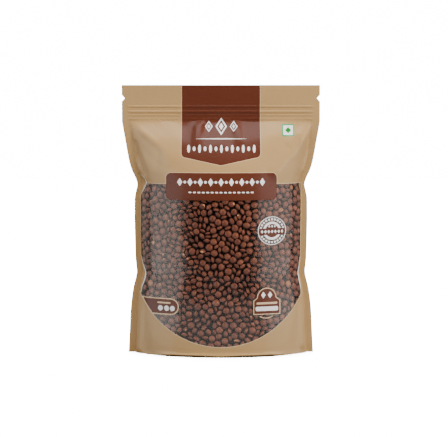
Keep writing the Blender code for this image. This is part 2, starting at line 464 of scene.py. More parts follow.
@dataclass
class PouchForm:
    """The bulged form of the pouch, in millimetres of the frame's own size."""

    half_gap: float = 0.3
    bulge_power: float = 0.65
    header_base: float = 224.0
    height: float = 259.3
    ridge_half_length: float = 88.0
    ridge_end: float = 1.5
    flat_depth: float = 0.5
    stations: tuple = (
        (0.0, 90.0, 33.6, 6.5),
        (24.0, 88.8, 34.6, 6.2),
        (44.0, 87.7, 35.3, 6.0),
        (57.0, 86.2, 35.7, 5.8),
        (65.0, 84.8, 35.9, 5.7),
        (72.4, 82.9, 36.1, 5.6),
        (79.0, 81.7, 36.4, 5.5),
        (84.0, 82.1, 36.6, 5.5),
        (91.6, 82.9, 36.9, 5.5),
        (100.0, 83.1, 37.2, 5.5),
        (143.0, 83.6, 37.1, 5.5),
        (151.0, 83.4, 36.7, 5.5),
        (158.4, 82.0, 35.9, 5.5),
        (164.0, 80.9, 35.0, 5.5),
        (169.9, 82.6, 33.5, 5.6),
        (177.5, 86.1, 31.0, 5.9),
        (185.0, 88.4, 28.1, 6.2),
        (193.5, 90.1, 24.2, 6.6),
        (208.0, 92.6, 15.4, 7.3),
        (224.0, 95.4, 0.5, 8.1),
    )
    folds: tuple = (
        Fold((-87.0, 224.5), (-50.0, 193.0), 13.0, 3.6, True),
        Fold((-87.0, 224.5), (-56.0, 199.0), 4.5, 1.7, True),
        Fold((-85.0, 203.0), (-74.0, 176.0), 5.0, -5.2, True),
        Fold((-60.0, 200.0), (-62.0, 174.0), 6.0, -1.0, True),
        Fold((-38.0, 226.0), (-29.0, 202.0), 6.5, -2.2),
        Fold((-19.5, 227.0), (-24.0, 204.0), 5.6, 3.2, True),
        Fold((-12.5, 226.0), (-14.0, 206.0), 5.0, -2.2),
        Fold((14.1, 227.0), (17.0, 206.0), 5.6, 3.2, True),
        Fold((7.0, 226.0), (9.0, 206.0), 5.0, -1.6),
        Fold((48.0, 225.0), (50.0, 204.0), 12.0, 1.2),
        Fold((86.5, 224.0), (66.0, 206.0), 6.5, 2.8, True),
        Fold((88.0, 219.0), (56.0, 178.0), 12.0, 4.8, True),
        Fold((88.0, 224.0), (70.0, 190.0), 4.0, 1.9, True),
        Fold((86.0, 206.0), (76.0, 172.0), 5.0, -4.6, True),
        Fold((-80.0, 4.0), (-78.0, 54.0), 4.5, 1.8, True),
        Fold((-72.0, 4.0), (-75.0, 50.0), 5.0, -1.0),
        Fold((80.0, 8.0), (79.0, 60.0), 4.5, 1.8, True),
        Fold((71.0, 4.0), (75.0, 48.0), 5.0, -1.0),
        Pinch((-68.8, 164.5), -77.0, 11.0, 3.4),
        Pinch((72.0, 166.0), 77.0, 8.0, 2.8),
        Pinch((-72.0, 77.5), -77.5, 16.0, 2.6),
        Pinch((74.0, 76.0), 77.5, 15.0, 2.4),
    )
    ridges: tuple = ((238.6, 1.2, 0.42), (233.6, 1.3, 0.56), (230.2, 0.8, 0.22), (226.9, 0.8, 0.2))
    hem_height: float = 1.3
    hem_depth: float = 1.5
    hem_lift: float = 1.35
    hem_half_length: float = 60.0
    hem_half_height: float = 1.5
    hem_end: Point = (-6.0, 14.0)
    lift_end: float = 12.0
    lift_dip: Point = (0.6, 13.0)
    lift_height: float = 4.0
    crimps: tuple = ((88.6, 238.4), (88.4, 233.6), (88.6, 227.6), (-88.6, 233.8))
    crimp_height: float = 0.5
    seam_waves: tuple = (
        (-19.5, 7.0, 1.5),
        (14.1, 7.0, 1.5),
        (-3.0, 8.0, -0.6),
        (-58.0, 18.0, 0.7),
        (60.0, 16.0, 0.6),
    )
    seam_wave_base: float = 200.0
    fold_fade: float = 4.5
    ripple_height: float = 0.22
    ripple_runs: tuple = (9.0, 23.0, 14.0, 31.0)
    back_phase: float = 2.1
    curl_edge: Point = (70.0, 25.0)
    curl_height: float = 0.9
    curl_run: float = 21.0
    curl_lean: float = 0.3
    lid_edge: Point = (240.0, 18.5)
    lid_height: float = 0.7
    lid_run: float = 38.0
    lid_phase: float = 0.6

    def __post_init__(self) -> None:
        """Work out the slopes of the smooth curves through the stations."""
        self.table = np.array(self.stations)
        self.slopes = np.gradient(self.table[:, 1:], self.table[:, 0], axis=0)

    def _along(self, z: Array, column: int) -> Array:
        """Read one size on its smooth curve."""
        heights, values, slopes = self.table[:, 0], self.table[:, column], self.slopes[:, column - 1]
        z = np.clip(z, 0.0, self.header_base)
        low = np.clip(np.searchsorted(heights, z, side="right") - 1, 0, len(heights) - 2)
        span = heights[low + 1] - heights[low]
        t = (z - heights[low]) / span
        start = (1 + 2 * t) * (1 - t) ** 2 * values[low] + t * (1 - t) ** 2 * span * slopes[low]
        end = t * t * (3 - 2 * t) * values[low + 1] - t * t * (1 - t) * span * slopes[low + 1]
        return start + end

    def outer(self, z: Array) -> Array:
        """Half width at a height, with the side seals."""
        return self._along(np.asarray(z, float), 1)

    def inner(self, z: Array) -> Array:
        """Half width of the bulge at a height, between the side seals."""
        z = np.asarray(z, float)
        return self._along(z, 1) - self._along(z, 3)

    def depth(self, x: Array, z: Array, front: bool = True) -> Array:
        """Distance of one sheet from the pouch's middle plane.

        Args:
            x: Places across, in millimetres.
            z: Places up, in millimetres.
            front: Whether it is the front sheet or the back one.

        Returns:
            Distances in millimetres.
        """
        x, z = np.asarray(x, float), np.asarray(z, float)
        level = z - self.seam_rise(x) * ramp(z, self.seam_wave_base, self.header_base - self.seam_wave_base)
        share = np.clip(1.0 - (x / self.inner(level)) ** 2, 0.0, 1.0)
        body = np.maximum(0.0, self._along(level, 2) - self.flat_depth) * share ** self.bulge_power
        body = np.where(level < self.header_base, body, 0.0)
        fade = ramp(body, 0.0, self.fold_fade)
        relief = sum(fold.relief(x, z) for fold in self.folds)
        phase = 0.0 if front else self.back_phase
        a, b, c, d = self.ripple_runs
        ripple = self.ripple_height * np.sin(x / a + z / b + phase) * np.sin(z / c - x / d + phase)
        bulge = np.maximum(0.0, body + (relief + ripple) * fade)
        return self.half_gap + bulge + self._zipper(x, z) + self._hem(x, z)

    def _hem(self, x: Array, z: Array) -> Array:
        """Height of the welded lip along the bottom edge."""
        middle = ramp(self.hem_half_length - np.abs(x), *self.hem_end)
        return self.hem_depth * middle * np.exp(-(((z - self.hem_height) / self.hem_half_height) ** 2))

    def _lift(self, x: Array, z: Array) -> Array:
        """How far the lip stands off the table, in millimetres."""
        ends = ramp(self.hem_half_length - np.abs(x), 0.0, self.lift_end)
        share, width = self.lift_dip
        middle = 1.0 - share * np.exp(-((x / width) ** 2))
        return self.hem_lift * ends * middle * ramp(self.lift_height - z, 0.0, self.lift_height)

    def seam_rise(self, x: Array) -> Array:
        """How far the zipper's lower seam waves up or down, in millimetres."""
        x = np.asarray(x, float)
        return sum(rise * np.exp(-(((x - middle) / width) ** 2)) for middle, width, rise in self.seam_waves)

    def _zipper(self, x: Array, z: Array) -> Array:
        """Height of the zipper's tracks over the header."""
        end = ramp(self.ridge_half_length - np.abs(x), 0.0, self.ridge_end)
        total = np.zeros(np.broadcast(x, z).shape)
        for middle, half, height in self.ridges:
            total = total + height * np.sqrt(np.clip(1.0 - ((z - middle) / half) ** 2, 0.0, 1.0))
        total = total * np.sqrt(end)
        for middle, level in self.crimps:
            total = total + self.crimp_height * np.exp(-((x - middle) ** 2 + (z - level) ** 2))
        return total

    def sway(self, x: Array, z: Array) -> Array:
        """How far both sheets lean out of the middle plane together, at the seals and header."""
        side = ramp(np.abs(x), *self.curl_edge) ** 2
        curl = side * (self.curl_height * np.sin(z / self.curl_run + np.sign(x)) - self.curl_lean)
        lid = ramp(z, *self.lid_edge) ** 2 * self.lid_height * np.sin(x / self.lid_run + self.lid_phase)
        return curl + lid

    def place(self, x: Array, z: Array, front: bool = True) -> Array:
        """Place points of a sheet in space."""
        x, z = np.asarray(x, float), np.asarray(z, float)
        side = -1.0 if front else 1.0
        y = self.sway(x, z) + side * self.depth(x, z, front)
        return np.stack([x, y, z + self._lift(x, z)], axis=-1) * MM


def ring(centre: Point, radius: float, steps: int = 48, start: float = 0.0, end: float = 360.0) -> Loop:
    """Draw an arc or a whole circle."""
    whole = abs(end - start) >= 360.0
    angles = np.radians(np.linspace(start, end, steps + 1))[: steps if whole else steps + 1]
    return [(centre[0] + radius * math.cos(a), centre[1] + radius * math.sin(a)) for a in angles]


def panel(centre: Point, width: float, height: float, radius: float) -> Loop:
    """Draw a rectangle with round corners."""
    dx, dz = width / 2 - radius, height / 2 - radius
    loop: Loop = []
    for quarter, (sx, sz) in enumerate(((1, 1), (-1, 1), (-1, -1), (1, -1))):
        corner = (centre[0] + sx * dx, centre[1] + sz * dz)
        loop += ring(corner, radius, 5, 90.0 * quarter, 90.0 * quarter + 90.0)
    return loop


def oval(centre: Point, width: float, height: float, steps: int = 20) -> Loop:
    """Draw an ellipse."""
    angles = [2 * math.pi * i / steps for i in range(steps)]
    return [(centre[0] + width / 2 * math.cos(a), centre[1] + height / 2 * math.sin(a)) for a in angles]


def ribbon(path: Sequence[Point], width: float) -> Loop:
    """Draw a strip along a path that thins out to both ends."""
    points = np.array(path)
    along = np.gradient(points, axis=0)
    across = np.stack([-along[:, 1], along[:, 0]], axis=1)
    across /= np.linalg.norm(across, axis=1, keepdims=True)
    half = width / 2 * np.sin(np.linspace(0.12, math.pi - 0.12, len(points)))[:, None]
    return [tuple(p) for p in (*(points - across * half), *(points + across * half)[::-1])]


def lozenge(centre: Point, width: float, height: float) -> Loop:
    """Draw a diamond that stands on its point."""
    x, z = centre
    return [(x + width / 2, z), (x, z + height / 2), (x - width / 2, z), (x, z - height / 2)]


def grown(loop: Loop, distance: float) -> Loop:
    """Move every side of a loop outwards.

    Args:
        loop: Points anticlockwise.
        distance: How far, in millimetres; negative moves inwards.

    Returns:
        The moved points.
    """
    points = np.array(loop)
    before = points - np.roll(points, 1, axis=0)
    after = np.roll(points, -1, axis=0) - points
    normals = []
    for edge in (before, after):
        length = np.maximum(1e-9, np.linalg.norm(edge, axis=1, keepdims=True))
        normals.append(np.stack([edge[:, 1], -edge[:, 0]], axis=1) / length)
    mean = normals[0] + normals[1]
    scale = np.maximum(0.5, (mean * normals[0]).sum(axis=1, keepdims=True))
    return [tuple(p) for p in points + distance * mean / scale]


@dataclass(frozen=True)
class Field:
    """One area of print: later fields are printed over earlier ones."""

    ink: Ink
    loop: Loop


@dataclass(frozen=True)
class Row:
    """A row of marks to both sides of a middle one."""

    middle: Point
    pitch: float
    reach: int

    def places(self) -> Loop:
        """List the middles of the marks from left to right."""
        x, z = self.middle
        return [(x + step * self.pitch, z) for step in range(-self.reach, self.reach + 1)]


@dataclass
class PrintLayout:
    """Fields of colour and plain shapes on the front, in millimetres."""

    window_half_width: float = 77.3
    window_top: float = 165.2
    window_side_end: float = 58.2
    window_bottom: float = 10.1
    window_corner: float = 5.0
    left_nips: tuple = (
        (153.5, 0.0), (95.0, 0.0), (88.0, 1.7), (82.0, 3.9), (78.0, 4.7), (73.0, 3.9), (65.0, 0.9),
    )
    right_nips: tuple = ((95.0, 0.6), (88.0, 1.2), (82.0, 2.2), (78.0, 2.7), (72.0, 1.6), (65.0, 0.2))
    # Painted highlights: thin white strips where the film's creases would catch the light, beside the
    # window's sides and its upper left corner.
    crease_highlights: tuple = (
        ((-77.4, 96), (-75.6, 88), (-73.4, 82), (-72.6, 78), (-73.4, 73), (-76.4, 65), (-77.0, 60)),
        ((76.7, 96), (76.1, 88), (75.1, 82), (74.6, 78), (75.7, 72), (77.1, 65), (77.4, 61)),
        ((-77.6, 174), (-73.4, 170.5), (-71.4, 165.8), (-74.4, 159), (-77.2, 153.5)),
    )
    crease_highlight_widths: tuple = (1.0, 0.8, 0.6)
    outline: float = 0.45
    window_outline: float = 0.5
    banner_half_width: float = 37.6
    banner_levels: Point = (191.0, 270.0)
    banner_corner: tuple = ((0.0, 3.0), (0.5, 1.0), (2.2, -0.4))
    banner_tip: tuple = ((-2.0, 183.5), (0.0, 183.2), (2.0, 183.5))
    diamonds: tuple = ((0.3, 11.0, 16.5), (-11.6, 7.4, 10.6), (12.2, 7.4, 10.6))
    diamond_level: float = 219.6
    diamond_inks: tuple = ((Ink.WHITE, 1.0), (Ink.BROWN, 0.72), (Ink.WHITE, 0.4))
    line_ends: Point = (-24.0, 24.6)
    line_level: float = 208.0
    line_width: float = 1.0
    seeds: Row = Row((0.5, 198.6), 5.2, 6)
    seed_sizes: tuple = ((2.7, 7.6), (2.7, 4.4))
    label_centre: Point = (0.45, 163.2)
    label_size: Triple = (105.5, 25.6, 4.6)
    label_row: Row = Row((0.15, 167.4), 4.9, 8)
    label_diamond: Point = (5.0, 7.6)
    label_dot: float = 2.6
    dashes: Row = Row((0.15, 157.8), 4.2, 7)
    dash_size: Triple = (2.7, 1.3, 0.5)
    corner_middle: Point = (64.6, 216.0)
    corner_panels: tuple = ((Ink.GREEN, 11.9, 11.6, 1.2), (Ink.WHITE, 9.4, 9.1, 0.6))
    corner_diamond: float = 6.0
    tab_levels: Point = (40.6, 55.6)
    tab_tip: float = -40.6
    tab_ends: Point = (0.9, -0.6)
    tab_border: float = 0.55
    tab_line: tuple = ((-54.5, 51.6), 13.0, 1.6, 0.7)
    tab_spots: tuple = ((-58.0, 46.4), (-52.0, 46.4), (-46.4, 46.4))
    tab_spot: Point = (4.6, 5.2)
    seal_middle: Point = (48.6, 121.0)
    seal_rings: tuple = (
        (Ink.WHITE, 13.6, 48), (Ink.CLEAR, 12.9, 48), (Ink.WHITE, 8.7, 48), (Ink.BROWN, 6.4, 32),
    )
    seal_ticks: int = 24
    seal_tick: Triple = (11.9, 10.1, 4.6)
    seal_bar: tuple = ((48.7, 120.2), 25.4, 6.2, 0.6)
    seal_row: Row = Row((48.7, 120.2), 3.2, 3)
    seal_diamond: Point = (2.5, 3.4)
    seal_dots: Row = Row((48.7, 125.2), 2.6, 1)
    seal_dot: Point = (1.7, 1.9)
    badge_x: float = 43.9
    badge_half_width: float = 12.6
    badge_levels: Point = (41.2, 54.2)
    badge_arch: Triple = (-0.2, 57.2, 8.9)
    badge_border: float = 0.4
    badge_diamonds: tuple = ((-3.4, 59.6), (3.0, 59.6))
    badge_diamond: Point = (4.4, 6.4)
    badge_bars: tuple = ((Ink.CREAM, 51.7, 20.0, 2.0, 0.9), (Ink.WHITE, 46.4, 21.6, 4.2, 1.2))
    smile_middle: Point = (-0.6, 48.6)
    smile_radii: Point = (11.6, 10.8)
    smile_angles: Point = (236.0, 304.0)

    def window(self) -> Loop:
        """Draw the window, anticlockwise from the top right: straight sides over a round bottom."""
        half, rise = self.window_half_width, self.window_side_end - self.window_bottom
        radius = (half ** 2 + rise ** 2) / (2 * rise)
        reach = math.degrees(math.asin(half / radius))
        arc = ring((0.0, self.window_bottom + radius), radius, 72, 270 - reach, 270 + reach)
        left = [(-half + cut, z) for z, cut in self.left_nips]
        right = [(half - cut, z) for z, cut in self.right_nips]
        top = [(half, self.window_top), (-half + self.window_corner, self.window_top)]
        return [*reversed(right), *top, *left, *arc]

    def banner(self) -> Loop:
        """Draw the brown banner that comes down from the top edge to a blunt point."""
        half, (low, top) = self.banner_half_width, self.banner_levels
        left = [(-half + inward, low + up) for inward, up in self.banner_corner]
        right = [(-x, z) for x, z in reversed(left)]
        return [(half, top), (-half, top), *left, *self.banner_tip, *right]

    def fields(self) -> list[Field]:
        """List every field in the order of printing."""
        window, banner = self.window(), self.banner()
        label = panel(self.label_centre, *self.label_size)
        fields = [
            Field(Ink.CREAM, grown(banner, self.outline)),
            Field(Ink.BROWN, banner),
            Field(Ink.CREAM, grown(label, self.outline)),
            Field(Ink.CREAM, grown(window, self.window_outline)),
            Field(Ink.CLEAR, window),
            Field(Ink.BROWN, label),
        ]
        # Print the painted crease highlights in white ink.
        fields += [Field(Ink.WHITE, ribbon(*painted_highlight)) for painted_highlight in zip(self.crease_highlights, self.crease_highlight_widths)]
        fields += self._banner_marks() + self._label_marks() + self._corner_mark()
        return fields + self._weight_tab(window) + self._round_seal() + self._arched_badge()

    def _banner_marks(self) -> list[Field]:
        """Print three diamonds, a thin line and a row of slim seeds on the banner."""
        marks = [
            Field(ink, lozenge((x, self.diamond_level), width * share, height * share))
            for x, width, height in self.diamonds
            for ink, share in self.diamond_inks
        ]
        line = [(x, self.line_level) for x in np.linspace(*self.line_ends, 13)]
        marks.append(Field(Ink.WHITE, ribbon(line, self.line_width)))
        for number, middle in enumerate(self.seeds.places()):
            marks.append(Field(Ink.WHITE, oval(middle, *self.seed_sizes[number % 2], 14)))
        return marks

    def _label_marks(self) -> list[Field]:
        """Print a row of diamonds and dots over a row of short dashes on the label."""
        dot = self.label_dot
        shapes = [
            oval(middle, dot, dot, 12) if number % 2 else lozenge(middle, *self.label_diamond)
            for number, middle in enumerate(self.label_row.places())
        ]
        shapes += [panel(middle, *self.dash_size) for middle in self.dashes.places()]
        return [Field(Ink.WHITE, shape) for shape in shapes]

    def _corner_mark(self) -> list[Field]:
        """Print the small green square with a green diamond in it."""
        middle, size = self.corner_middle, self.corner_diamond
        marks = [Field(ink, panel(middle, *sizes)) for ink, *sizes in self.corner_panels]
        return [*marks, Field(Ink.LEAF, lozenge(middle, size, size))]

    def _weight_tab(self, window: Loop) -> list[Field]:
        """Print the tab that reaches into the window from its lower left edge.

        Args:
            window: The window's loop, which the tab's left end follows.

        Returns:
            Its fields.
        """
        low, top = self.tab_levels
        low_end, top_end = self.tab_ends
        radius = (top - low) / 2
        nose = ring((self.tab_tip - radius, (top + low) / 2), radius, 18, -90.0, 90.0)
        edge = [p for p in window[2:] if low < p[1] < top and p[0] < 0]
        shape = [*nose, (edge[0][0] + top_end, top), *edge, (edge[-1][0] + low_end, low)]
        return [
            Field(Ink.CREAM, grown(shape, self.outline)),
            Field(Ink.BROWN, grown(shape, -self.tab_border)),
            Field(Ink.CREAM, panel(*self.tab_line)),
            *(Field(Ink.WHITE, oval(middle, *self.tab_spot, 18)) for middle in self.tab_spots),
        ]

    def _round_seal(self) -> list[Field]:
        """Print the round seal of rings, short ticks and a bar."""
        middle = self.seal_middle
        seal = [Field(ink, ring(middle, radius, steps)) for ink, radius, steps in self.seal_rings]
        outer, inner, half = self.seal_tick
        for turn in range(self.seal_ticks):
            angle = 360.0 / self.seal_ticks * turn
            arc = ring(middle, outer, 2, angle - half, angle + half)
            seal.append(Field(Ink.WHITE, arc + ring(middle, inner, 2, angle + half, angle - half)))
        seal.append(Field(Ink.BROWN, panel(*self.seal_bar)))
        seal += [Field(Ink.WHITE, lozenge(place, *self.seal_diamond)) for place in self.seal_row.places()]
        return seal + [Field(Ink.WHITE, oval(place, *self.seal_dot, 10)) for place in self.seal_dots.places()]

    def _arched_badge(self) -> list[Field]:
        """Print the badge with an arched top, two diamonds and two bars over a curved line."""
        x, half, (low, high) = self.badge_x, self.badge_half_width, self.badge_levels
        aside, level, radius = self.badge_arch
        arch = ring((x + aside, level), radius, 24, 0.0, 180.0)
        body = [*arch, (x - half, high), (x - half, low), (x + half, low), (x + half, high)]
        hub = (x + self.smile_middle[0], self.smile_middle[1])
        outer, inner = self.smile_radii
        smile = ring(hub, outer, 12, *self.smile_angles) + ring(hub, inner, 12, *self.smile_angles[::-1])
        return [
            Field(Ink.CREAM, grown(body, self.badge_border)),
            Field(Ink.BROWN, grown(body, -self.badge_border)),
            *(Field(Ink.WHITE, lozenge((x + a, z), *self.badge_diamond)) for a, z in self.badge_diamonds),
            *(Field(ink, panel((x, z), *sizes)) for ink, z, *sizes in self.badge_bars),
            Field(Ink.CREAM, smile),
        ]


def densified(loop: Loop, longest: float, closed: bool = True) -> Loop:
    """Add points along a loop's or path's straight runs."""
    dense: Loop = []
    pairs = list(zip(loop, loop[1:] + loop[:1] if closed else loop[1:]))
    for (x0, z0), (x1, z1) in pairs:
        parts = max(1, math.ceil(math.hypot(x1 - x0, z1 - z0) / longest))
        dense += [(x0 + (x1 - x0) * i / parts, z0 + (z1 - z0) * i / parts) for i in range(parts)]
    return dense if closed else dense + [loop[-1]]


def inside(points: Array, loop: Loop) -> Array:
    """Test which points lie in a loop.

    Args:
        points: An array of places across and up.
        loop: The loop's points.

    Returns:
        True for each point that lies inside.
    """
    corners = np.array(loop)
    result = np.zeros(len(points), bool)
    low, high = corners.min(axis=0), corners.max(axis=0)
    near = np.where(((points >= low) & (points <= high)).all(axis=1))[0]
    x, z = points[near, 0], points[near, 1]
    odd = np.zeros(len(near), bool)
    for (x0, z0), (x1, z1) in zip(corners, np.roll(corners, -1, axis=0)):
        if z0 == z1:
            continue
        crosses = ((z0 > z) != (z1 > z)) & (x < (x1 - x0) * (z - z0) / (z1 - z0) + x0)
        odd ^= crosses
    result[near] = odd
    return result


def plain_mesh(
    name: str, points: Array, faces: Sequence, slots: Sequence[int] | None = None
) -> Piece:
    """Link an object made of points and faces."""
    mesh = bpy.data.meshes.new(name)
    mesh.from_pydata([tuple(p) for p in points], [], [tuple(int(i) for i in face) for face in faces])
    if slots is not None:
        mesh.polygons.foreach_set("material_index", np.asarray(slots, dtype=np.int32))
    mesh.shade_smooth()
    mesh.update()
    piece = bpy.data.objects.new(name, mesh)
    bpy.context.scene.collection.objects.link(piece)
    return piece


def hand_over(piece: Piece, node: str) -> Piece:
    """Fix a finished piece to the body and let it stand for a node."""
    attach(piece, BODY)
    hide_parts(node)
    LOG.info("%s: %d faces", piece.name, len(piece.data.polygons))
    return piece


@dataclass
class PouchSkin:
    """The film of the pouch: printed front, clear window, plain back, rim and base."""

    form: PouchForm
    layout: PrintLayout = field(default_factory=PrintLayout)
    front_grid: tuple[float, int] = (1.7, 84)
    back_grid: tuple[float, int] = (3.2, 44)
    edge_rows: tuple[float, float] = (0.5, 1.1)
    crowding: float = 0.62
    header_step: float = 4.0
    header_columns: int = 40
    ridge_steps: tuple = (-1.0, -0.92, -0.7, -0.38, 0.0, 0.38, 0.7, 0.92, 1.0)
    side_points: int = 133
    side_step: float = 2.0
    outline_step: float = 1.6
    clearance: float = 0.42
    notch_height: float = 246.6
    notch_depth: float = 2.9
    notch_half_opening: float = 3.2
    gusset_rise: float = 5.0
    gusset_rows: int = 24
    gusset_flat_rows: int = 4
    gusset_power: float = 0.7
    gusset_reach: float = 40.0
    weld_distance: float = 0.002
    sharp_angle: float = 38.0

    def silhouette(self) -> Loop:
        """Draw the pouch's outline seen from the front, with its tear notches.

        Returns:
            Its points, anticlockwise from the bottom left.
        """
        form = self.form
        levels = np.linspace(0.0, form.header_base, self.side_points)
        side = [(float(form.outer(z)), float(z)) for z in levels]
        wide = side[-1][0]
        notch = [
            (wide, self.notch_height - self.notch_half_opening),
            (wide - self.notch_depth, self.notch_height),
            (wide, self.notch_height + self.notch_half_opening),
        ]
        right = side + notch + [(wide, form.height)]
        return densified(right + [(-x, z) for x, z in reversed(right)], self.side_step)

    def grid(self, row_step: float, columns: int) -> Array:
        """Spread points over a sheet, closer together near the side seals.

        Args:
            row_step: The distance between rows in the body.
            columns: How many columns the body has.

        Returns:
            Places across and up.
        """
        form = self.form
        rows = [*self.edge_rows, *np.arange(row_step, form.header_base, row_step)]
        points: Loop = []
        spread = np.linspace(-1.0, 1.0, columns + 1)[1:-1]
        spread = self.crowding * np.sin(np.pi * spread / 2) + (1.0 - self.crowding) * spread
        for z in rows:
            inner, outer = float(form.inner(z)), float(form.outer(z))
            points += [(float(inner * t), z) for t in spread]
            points += [(side * (inner + outer) / 2, z) for side in (-1, 1)]
        lines = set(np.arange(form.header_base + self.header_step, form.height, self.header_step))
        for middle, half, _ in form.ridges:
            lines |= {middle + half * t for t in self.ridge_steps}
        wide = float(form.outer(form.header_base))
        across = np.linspace(-wide, wide, self.header_columns + 1)[1:-1]
        for z in sorted(lines):
            points += [(float(x), float(z)) for x in across]
        return np.array(points)

    def tiles(self, loops: list[Loop], paths: list[Loop], grid: Array) -> tuple[Array, Array]:
        """Fill the silhouette with triangles whose edges follow every loop and path.

        Args:
            loops: Closed outlines.
            paths: Open lines.
            grid: Free points.

        Returns:
            Points across and up, and triangles that wind anticlockwise.
        """
        outline = self.silhouette()
        lines: list[tuple[Loop, bool]] = [(outline, True)]
        lines += [(densified(loop, self.outline_step), True) for loop in loops]
        lines += [(densified(path, self.outline_step, False), False) for path in paths]
        points: Loop = []
        edges: list[tuple[int, int]] = []
        for line, closed in lines:
            first, count = len(points), len(line)
            points += line
            edges += [(first + i, first + i + 1) for i in range(count - 1)]
            if closed:
                edges.append((first + count - 1, first))
        tree = KDTree(len(points))
        for number, (x, z) in enumerate(points):
            tree.insert((x, z, 0.0), number)
        tree.balance()
        kept = inside(grid, outline)
        free = [p for p in grid[kept] if tree.find((p[0], p[1], 0.0))[2] > self.clearance]
        vectors = [Vector(p) for p in points + free]
        placed, _, faces, *_ = delaunay_2d_cdt(vectors, edges, [], 0, 1e-4)
        flat = np.array([tuple(p) for p in placed])
        triangles = np.array(faces)
        corners = flat[triangles]
        ahead, aside = corners[:, 1] - corners[:, 0], corners[:, 2] - corners[:, 0]
        area = ahead[:, 0] * aside[:, 1] - ahead[:, 1] * aside[:, 0]
        triangles = np.where(area[:, None] < 0, triangles[:, ::-1], triangles)
        within = inside(corners.mean(axis=1), outline) & (np.abs(area) > 1e-6)
        return flat, triangles[within]

    def seal_lines(self) -> list[Loop]:
        """Draw the inner edge of both side seals and the zipper's lower edge."""
        form = self.form
        levels = np.linspace(0.0, form.header_base, 120)
        lines = [[(float(side * form.inner(z)), float(z)) for z in levels] for side in (-1, 1)]
        half = float(form.inner(form.header_base))
        seam = np.linspace(-half, half, 90)
        lines.append([(float(x), form.header_base + float(form.seam_rise(x))) for x in seam])
        return lines

    def build(self) -> tuple[Piece, Piece]:
        """Make the printed film and the clear window.

        Returns:
            The printed piece and the clear piece.
        """
        fields = self.layout.fields()
        grid = self.grid(*self.front_grid)
        flat, triangles = self.tiles([item.loop for item in fields], self.seal_lines(), grid)
        middles = flat[triangles].mean(axis=1)
        inks = np.zeros(len(triangles), int)
        for item in fields:
            inks[inside(middles, item.loop)] = item.ink.value
        points = self.form.place(flat[:, 0], flat[:, 1])
        clear = inks == Ink.CLEAR.value
        window = self._piece("window_film", points, triangles[clear], np.zeros(clear.sum(), int))
        shell = self._shell(points, triangles[~clear], inks[~clear])
        return shell, window

    def _piece(self, name: str, points: Array, faces: Array, slots: Array) -> Piece:
        """Make a piece of only the points that its faces use."""
        used, numbers = np.unique(faces, return_inverse=True)
        return plain_mesh(name, points[used], numbers.reshape(faces.shape), slots)

    def _shell(self, points: Array, faces: Array, slots: Array) -> Piece:
        """Join the printed front to the back, the rim and the base.

        Args:
            points: The front's points.
            faces: The front's printed faces.
            slots: Each face's ink.

        Returns:
            The closed printed film, open only at the window.
        """
        form = self.form
        flat, back_faces = self.tiles([], self.seal_lines(), self.grid(*self.back_grid))
        back = form.place(flat[:, 0], flat[:, 1], False)
        all_points = [points, back]
        all_faces = [tuple(f) for f in faces] + [tuple(f[::-1] + len(points)) for f in back_faces]
        outline = self.silhouette()
        count = len(points) + len(back)
        line = np.array(outline)
        ends = np.stack([form.place(line[:, 0], line[:, 1]), form.place(line[:, 0], line[:, 1], False)])
        all_points += [ends[0], ends[1]]
        size = len(line)
        for i in range(size):
            j = (i + 1) % size
            low = line[i][1] == 0.0 and line[j][1] == 0.0
            if not low:
                all_faces.append((count + j, count + i, count + size + i, count + size + j))
        slots = list(slots) + [Ink.KRAFT.value] * (len(all_faces) - len(slots))
        start = count + 2 * size
        base_points, base_faces = self._gusset(line[line[:, 1] == 0.0][:, 0])
        all_points.append(base_points)
        all_faces += [tuple(start + i for i in f) for f in base_faces]
        slots += [Ink.KRAFT.value] * len(base_faces)
        shell = plain_mesh("printed_film", np.concatenate(all_points), all_faces, slots)
        self._weld(shell)
        return shell

    def _gusset(self, across: Array) -> tuple[Array, list[tuple[int, ...]]]:
        """Lay the base from the front edge to the back edge, folded up along its middle.

        Args:
            across: Places along the bottom edge.

        Returns:
            Points in metres and faces that look down.
        """
        form = self.form
        across = np.sort(across)
        zero = np.zeros_like(across)
        front, back = form.place(across, zero), form.place(across, zero, False)
        rows = []
        reach = ramp(back[:, 1] - front[:, 1], 0.0, self.gusset_reach * MM)
        for step in range(self.gusset_rows + 1):
            t = step / self.gusset_rows
            row = front * (1 - t) + back * t
            if 0 < step < self.gusset_rows:
                inward = max(0.0, 1 - abs(2 * t - 1) - self.gusset_flat_rows / self.gusset_rows)
                row[:, 2] = self.gusset_rise * MM * reach * inward ** self.gusset_power
            rows.append(row)
        size = len(across)
        faces = []
        for step in range(self.gusset_rows):
            for i in range(size - 1):
                low, high = step * size + i, (step + 1) * size + i
                faces.append((low, high, high + 1, low + 1))
        return np.concatenate(rows), faces

    def _weld(self, shell: Piece) -> None:
        """Merge the points that the sheets share along their edges."""
        source = bmesh.new()
        source.from_mesh(shell.data)
        loose = [vert for vert in source.verts if not vert.link_faces]
        bmesh.ops.delete(source, geom=loose, context="VERTS")
        bmesh.ops.remove_doubles(source, verts=source.verts, dist=self.weld_distance * MM)
        source.to_mesh(shell.data)
        source.free()
        shell.data.set_sharp_from_angle(angle=math.radians(self.sharp_angle))

    def dress(self, shell: Piece, window: Piece) -> None:
        """Give both pieces their finishes and hand them over."""
        for ink, finish in INKS.items():
            (window if ink is Ink.CLEAR else shell).data.materials.append(finish.material())
        for piece in (shell, window):
            hand_over(piece, "pouch")


@dataclass(frozen=True)
class LentilLayer:
    """One layer of lentils: how far behind the film it lies, and how closely it is filled."""

    behind: float
    cover: float
    lean: float


